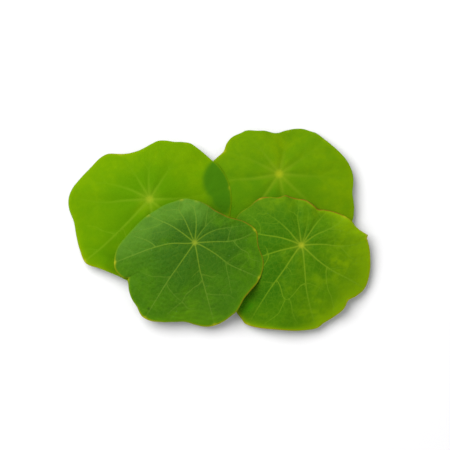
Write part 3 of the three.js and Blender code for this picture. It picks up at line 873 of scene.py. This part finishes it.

# The front left leaf's blade lies on top of the bunch, held highest by the stalk under its middle. It is
# the darkest, finely puckered and furrowed, with a painted grey sheen, a highlight, on its upper left.
front_left_leaf = {
    **plain_blade,
    "joint": (-10.8, -5.4, 15.2),
    "reach": [
        (3, 27.6), (9, 27.7), (14, 26.8), (19, 25), (24, 23.2), (30, 20.7), (37, 18.6), (46, 17.4),
        (58, 16.7), (70, 17.3), (83, 18.2), (92, 18.8), (102, 19.8), (111, 20), (118, 20.2), (128, 21.1),
        (139, 22.1), (147, 23.4), (154, 24.7), (161, 26.2), (168, 27.9), (174, 29.9), (179, 32),
        (184, 34.1), (190, 35.7), (198, 36.9), (204, 35.7), (206.6, 34.5), (207.8, 33), (209.2, 33.8),
        (212, 34.4), (216, 35.7), (222, 37.1), (228, 38), (234, 39.8), (240, 39.6), (247, 37.9),
        (255, 36.1), (263, 35.1),
        (270, 36.1), (277, 37.3), (283, 37.5), (290, 36.9), (296, 35.9), (301, 35.3), (306, 33.9),
        (312, 32.5), (320, 32.2), (328, 32.5), (338, 32.1), (346, 30.9), (352, 29.1), (357, 27.9),
    ],
    "height": [
        (10, 10.9), (30, 11), (55, 12.4), (80, 13), (100, 12.2), (125, 13.2), (150, 11.1), (172, 10.8),
        (198, 8.2), (212, 9), (236, 7.1), (256, 7.4), (283, 5.6), (304, 11.4), (322, 12.6), (340, 11.8),
    ],
    "ribs": [
        (3, 3, 2.3, 6, 11), (38, 35.5, 29.5, 21.5, 18), (62, 58, 55, 52, 49), (84, 84.5, 86.5, 90, 89),
        (114, 113, 113.5, 115.3, 108), (141, 142, 144.2, 147.6, 149.7), (186, 182, 187.5, 191.7, 194),
        (235, 235, 235, 236, 236.5), (283, 281, 282.5, 283.2, 283.5), (338, 331.7, 328, 330, 331.5),
    ],
    "branches": [
        (0.8, (2.3, 17), (-3, 18.3), (-8, 20.5), (-11, 23.7), (-15.5, 25), (-16.5, 29.5)),
        (0.7, (2.3, 14.6), (8, 14.9), (15, 15.7), (23.5, 17.8)),
        (0.7, (57.5, 8.7), (61, 10.3), (66, 13), (69, 16.6)),
        (0.9, (90.5, 15), (96, 16.8), (103, 17.6)),
        (0.7, (115.3, 15.7), (122, 17), (131, 18.8), (134, 21)),
        (0.6, (113.3, 11), (120, 11.8), (128, 12.9), (130, 15.6), (140, 15.6)),
        (0.6, (146, 16.2), (155, 17.8), (162, 20.5), (167, 23.8), (171, 27.8)),
        (0.3, (144, 12.3), (156, 13.2), (161, 14.6), (166, 17.8), (170, 20), (176, 21.2)),
        (1, (185.5, 17.3), (181, 18.7), (177, 21.5), (175.5, 23.4), (174, 26.5)),
        (0.35, (191, 27.2), (187, 28.4), (183, 29.8), (180, 31.5)),
        (0.5, (234.7, 18), (229, 19.9), (223, 21.5), (219, 23.5), (214, 25), (211, 26)),
        (0.3, (235, 14.8), (241, 15), (246.5, 16), (252, 17.2)),
        (0.6, (235, 21.5), (240, 22.9), (246, 24), (252, 25.3), (257, 26.3)),
        (0.8, (281.4, 16.7), (275, 18.5), (269, 19.6), (264, 21.5), (260.5, 23), (259, 25), (258, 26.4),
            (255, 28.2), (252, 30.5), (249, 33.5)),
        (0.8, (258, 26.4), (261, 27.6), (264.5, 29), (270, 29)),
        (0.6, (281, 12), (272, 13.4), (266, 15)),
        (0.6, (283.3, 23), (290, 24.2), (297, 25.6), (303, 27.4), (305, 29.5)),
        (0.7, (281.6, 14.3), (290, 15.1), (297, 16.9), (301, 17.1)),
        (0.5, (282.5, 19.6), (288, 19.9), (293, 20.8)),
        (0.6, (328, 16), (322, 17.6), (317, 19.6), (312, 22.6), (308.5, 25), (306.5, 27)),
        (0.35, (330, 22.8), (337, 23.7), (343, 25)),
        (0.45, (328.2, 16.6), (337, 17.7), (343, 19.2), (348, 21.5)),
    ],
    "glands": [
        (12, 1), (88, 0.2), (107, 0.4), (150, 0.35), (194, 1), (209.5, 0.4), (236.5, 0.9), (283.5, 1),
        (331.5, 1),
    ],
    "rust": [
        (2, 0.6), (14, 0.7), (25, 0.9), (60, 0.7), (78, 0.3), (95, 0), (190, 0), (207, 0.3), (225, 0),
        (290, 0), (304, 0.3), (320, 0.6), (331, 0.3), (340, 0.4), (348, 0.6),
    ],
    "yellow": [
        (0, 1), (20, 0.8), (60, 0.3), (150, 0.3), (208, 0.8), (240, 1.6), (265, 5), (290, 2), (331, 1.5),
    ],
    # Deeper patches: partly the leaf's own tone and partly painted shade.
    "deeper_and_shade": [
        (20, 12, 6.5, 0.9), (160, 12, 6, 1), (162, 18, 5.5, 0.8), (120, 10, 3.5, 0.4), (80, 14, 3, 0.3),
        (342, 18, 3.5, 0.5), (20, 14, 3, 0.3), (2, 21, 4, 0.2), (20, 21, 3, 0.2), (203, 14, 5, 0.5),
        (65, 7, 5, 0.4), (245, 16, 6, 0.4), (325, 12, 4, 0.3), (0, 4, 3, 0.5), (125, 6, 4, 0.6),
        (200, 5, 3, 0.4), (262, 8, 4, 0.5), (95, 12, 5, 0.3),
    ],
    # Paler patches: those inside the right margin are painted light on the slope that falls to the leaf
    # below.
    "paler_and_lit": [
        (268, 32, 9, 0.7), (238, 34, 6, 0.35), (300, 18, 5, 0.15), (50, 14, 4, 0.3), (280, 12, 3, 0.15),
        (342, 26, 5.5, 0.65), (4, 25, 4, 0.35), (322, 27, 5, 0.2), (340, 11, 3.5, 0.2), (218, 30, 6, 0.25),
        (200, 34, 4, 0.4), (34, 18, 4, 0.3), (20, 18.5, 4, 0.15), (180, 13, 3.5, 0.35), (283, 36, 3, 0.8),
        (261, 35, 3.5, 0.8), (140, 16.5, 3, 0.35), (100, 18, 3, 0.2),
    ],
    "shaded": [(235.4, 35.4, 0.6, 1)],
    "rim": [
        (0, 0.1), (12, 0.6), (25, 0.1), (85, 0), (107, 0.1), (125, 0), (185, 0.1), (194, 0.5), (205, 0.3),
        (225, 0.2), (237, 1), (250, 0.3), (270, 0.5), (284, 0.9), (296, 0.4), (331, 0.4),
    ],
    "rib_widths": [(0, 0.39), (0.3, 0.31), (1, 0.27)],
    "rib_fading": [(0, 1), (0.6, 0.85), (0.85, 0.6), (1, 0.2)],
    "own_fading": {
        1: [(0, 0.9), (0.5, 0.6), (0.8, 0.25), (1, 0.05)], 2: [(0, 0.9), (0.5, 0.5), (0.9, 0.1), (1, 0)],
        3: [(0, 1), (0.4, 0.9), (0.8, 0.6), (1, 0.1)], 4: [(0, 1), (0.5, 0.9), (0.8, 0.8), (1, 0.3)],
        5: [(0, 1), (0.6, 1), (0.85, 0.8), (1, 0.1)], 6: [(0, 1), (0.6, 0.95), (0.85, 0.75), (1, 0.5)],
    },
    "laid": [(8, 1), (20, 0.6), (32, 0), (45, 0), (315, 0), (322, 0.2), (331, 0.8), (342, 1), (353, 1)],
    "settles_from": 0.3,
    "furrow_depth": 0.12,
    "pucker_depth": 0.055,
    "puckered": [(205, 24, 9, 1), (235, 25, 9, 0.6), (165, 20, 8, 0.4)],
    "rippled": [(240, 32, 9, 1), (262, 30, 8, 1), (285, 30, 5, 0.8)],
    # Painted sheen: a grey highlight on the upper left, by bearing.
    "painted_sheen": [
        (0, 0), (45, 0.05), (65, 0.45), (80, 0.8), (92, 1), (110, 1), (135, 0.85), (152, 0.95), (172, 0.75),
        (188, 0.5), (196, 0.1), (240, 0), (262, 0.06), (285, 0.1), (310, 0),
    ],
    "looks": {
        **plain_looks,
        "seed": 19.0, "blotches": 0.14, "specks": 0.6,
        "plain": (0.058, 0.198, 0.0030, 1), "patch": (0.067, 0.216, 0.0027, 1),
        "deep_and_shade": (0.036, 0.142, 0.0062, 1), "painted_sheen": (0.134, 0.324, 0.0260, 1),
        "yellow": (0.118, 0.320, 0.0015, 1),
        "vein": (0.190, 0.335, 0.018, 1), "outer_vein": (0.175, 0.345, 0.026, 1),
        "hub": (0.31, 0.42, 0.025, 1),
        "deep_hub": 0.6, "hub_size": 1.8, "halo_shows": 0.05, "vein_core": 0.1, "vein_shows": 0.9,
        "twig_shows": 0.35, "net_shows": 0.08, "relief": 0.5, "rust_reach": 0.54, "shine": 0.05,
    },
}
grow_blade(
    front_left_leaf, "front_left_blade", "blade_front_left", 24, over=front_right_leaf
)

# The stalks are soft, juicy rods, paler than the blades. Each is cut short, lies on the surface beside
# the others and turns up into the boss under its own blade.
stalk_radius = 1.1
solid_radius = 1.2
solid_sides = 8
solid_half_thickness = 0.35
joint_gap = 0.3
bundle_x = -0.9
bundle_turn_y = -24.0
stalk_sides = 28
stalk_step = 0.35
stalk_ridges = 7
stalk_ridge_height = 0.015
stalk_twist = 0.004
flare_at_blade = 0.18
flare_length = 1.2
cut_rings = (0.3, 0.62, 0.9)
bundle_steps = 3
stalk_pitch = 2 * solid_radius + joint_gap
lying = solid_radius * math.cos(math.pi / solid_sides)
stalks = [
    ("back_left", back_left_leaf, -34.4, [(-17, -6, 0.1), (-25.5, 5, 0.7), (-29.8, 11.2, 3.4)]),
    ("front_left", front_left_leaf, -36.2, [
        (-2.25, -21, 0.35), (-2.8, -16.8, 4.6), (-6.4, -10.4, 8.2), (-9.7, -6.9, 10),
    ]),
    ("back_right", back_right_leaf, -33.6, [
        (3.4, -11, 0.1), (11, 3, 0.1), (20.5, 17, 0.5), (24.9, 22.9, 2),
    ]),
    ("front_right", front_right_leaf, -35.3, [
        (6.6, -22, 0.1), (19, -15, 0.2), (30, -9.6, 1.2), (34.8, -7.1, 4.6),
    ]),
]


streak_scale = 900.0
flush_scale = 60.0
stalk_grain_scale = 3000.0
stalk_green = (0.26, 0.38, 0.06, 1)
stalk_pale = (0.34, 0.46, 0.11, 1)
stalk_flush = (0.36, 0.16, 0.06, 1)
cut_pith = (0.52, 0.6, 0.3, 1)


def stalk_material():
    """Streaked pale green with a reddish flush here and there, and paler pith at the cut."""
    n = Nodes("stalk_skin")
    streak = n.ramp(n.noise(streak_scale, 3.0), 0.35, 0.65)
    flush = n.ramp(n.noise(flush_scale, 2.0, 4.0), 0.45, 0.7)
    colour = n.blend(streak, stalk_green, stalk_pale)
    colour = n.blend(n.times(flush, 0.35), colour, stalk_flush)
    colour = n.blend(n.fact("cut"), colour, cut_pith)
    fine = n.noise(stalk_grain_scale)
    bump = n.add("Bump", {"Strength": 0.3, "Distance": 0.0001, "Height": fine}).outputs[0]
    skin = n.add("BsdfPrincipled", {
        "Base Color": colour,
        "Roughness": n.ramp(fine, 0.3, 0.7, 0.32, 0.5),
        "Subsurface Weight": 0.2,
        "Subsurface Radius": (0.4, 0.6, 0.15),
        "Subsurface Scale": 0.002,
        "Normal": bump,
    })
    n.add("OutputMaterial", {"Surface": skin.outputs[0]})
    return n.material


def grow_stalk(path, name, skin):
    """A rod round the path, with a few faint ridges along it and a slightly rounded cut end."""
    along = np.gradient(path, axis=0)
    along /= np.linalg.norm(along, axis=1)[:, None]
    angle = np.arange(stalk_sides) * 2 * math.pi / stalk_sides
    normal = np.array([0.0, 0.0, -1.0])
    rows = []
    for i, (spot, ahead) in enumerate(zip(path, along)):
        normal = normal - ahead * (normal @ ahead)
        normal /= np.linalg.norm(normal)
        other = np.cross(ahead, normal)
        to_blade = (len(path) - 1 - i) * stalk_step
        ridges = stalk_ridge_height * np.cos(angle * stalk_ridges + stalk_twist * i)
        radius = stalk_radius * (1 - stalk_ridge_height + ridges)
        radius = radius * (1 + flare_at_blade * math.exp(-((to_blade / flare_length) ** 2)))
        sideways = (np.cos(angle) * radius)[:, None] * normal
        rows.append(spot + sideways + (np.sin(angle) * radius)[:, None] * other)
    cut_rows = [path[0] + (rows[0] - path[0]) * share for share in cut_rings]
    rows = cut_rows + rows
    points = np.concatenate(rows + [[path[0]], [path[-1]]])
    start, end = len(rows) * stalk_sides, len(rows) * stalk_sides + 1
    last = (len(rows) - 1) * stalk_sides
    faces = []
    for i in range(stalk_sides):
        j = (i + 1) % stalk_sides
        for row in range(0, last, stalk_sides):
            faces.append((row + i, row + j, row + stalk_sides + j, row + stalk_sides + i))
        faces += [(start, j, i), (end, last + i, last + j)]
    stalk, mesh = shown_piece(name, points, faces, skin)
    cut = np.zeros(len(points))
    cut[: len(cut_rows) * stalk_sides] = 1
    cut[start] = 1
    mark_points(mesh, "cut", cut)
    return stalk


stalk_skin = stalk_material()
for number, (name, leaf, cut_y, way) in enumerate(stalks):
    x = bundle_x + (number - (len(stalks) - 1) / 2) * stalk_pitch
    joint_x, joint_y, joint_z = leaf["joint"]
    end = joint_z - dimple_depth - solid_half_thickness - boss_depth - joint_gap
    straight = range(bundle_steps + 1)
    points = [(x, cut_y + (bundle_turn_y - cut_y) * i / bundle_steps, lying) for i in straight]
    points += [(way_x, way_y, lift + lying) for way_x, way_y, lift in way]
    points += [(joint_x, joint_y, end - solid_radius), (joint_x, joint_y, end + 2 * joint_gap)]
    stalk = grow_stalk(smooth_way(points, stalk_step), name + "_stalk", stalk_skin)
    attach(stalk, "root")
    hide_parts("stalk_" + name)

# The bunch lies on a plain pale table: a flat, matt, painted board, far wider than the picture,
# so that none of its edges show.
half_table = 1500.0
table_white = (0.86, 0.86, 0.86, 1)
n = Nodes("pale_table")
paint = {"Base Color": table_white, "Roughness": 0.9, "Specular IOR Level": 0.0}
matt = n.add("BsdfPrincipled", paint)
n.add("OutputMaterial", {"Surface": matt.outputs[0]})
corners = [(x * half_table, y * half_table, 0) for x, y in ((-1, -1), (1, -1), (1, 1), (-1, 1))]
table, _ = shown_piece("table", corners, [(0, 1, 2, 3)], n.material)

# The light is soft, as in a studio: one large round lamp high on the upper left, and a pale room
# all round that fills the shadows.
room = bpy.data.worlds.new("pale_room")
bpy.context.scene.world = room
room.use_nodes = True
room.node_tree.nodes["Background"].inputs["Color"].default_value = (0.995, 0.985, 1, 1)
room.node_tree.nodes["Background"].inputs["Strength"].default_value = 0.52
lamp_data = bpy.data.lights.new("window", "AREA")
lamp_data.shape = "DISK"
lamp_data.size = 0.95
lamp_data.energy = 14.0
lamp = bpy.data.objects.new("window", lamp_data)
lamp.location = (-0.45, 0.45, 0.95)
lamp.rotation_euler = (-lamp.location).to_track_quat("-Z", "Y").to_euler()
bpy.context.scene.collection.objects.link(lamp)

# The camera looks straight down on the middle of the picture, from more than a metre up, so that the
# leaves show with hardly any perspective.
picture_width = 198.0 * mm
picture_middle = Vector((2.42, 2.33, 4.5)) * mm
camera_distance = 1.1
camera_data = bpy.data.cameras.new("camera")
camera_data.sensor_width = 36.0
camera_data.lens = camera_data.sensor_width * camera_distance / picture_width
camera = bpy.data.objects.new("camera", camera_data)
camera.location = picture_middle + Vector((0, 0, camera_distance))
bpy.context.scene.collection.objects.link(camera)
bpy.context.scene.camera = camera
bpy.context.scene.view_settings.view_transform = "Standard"
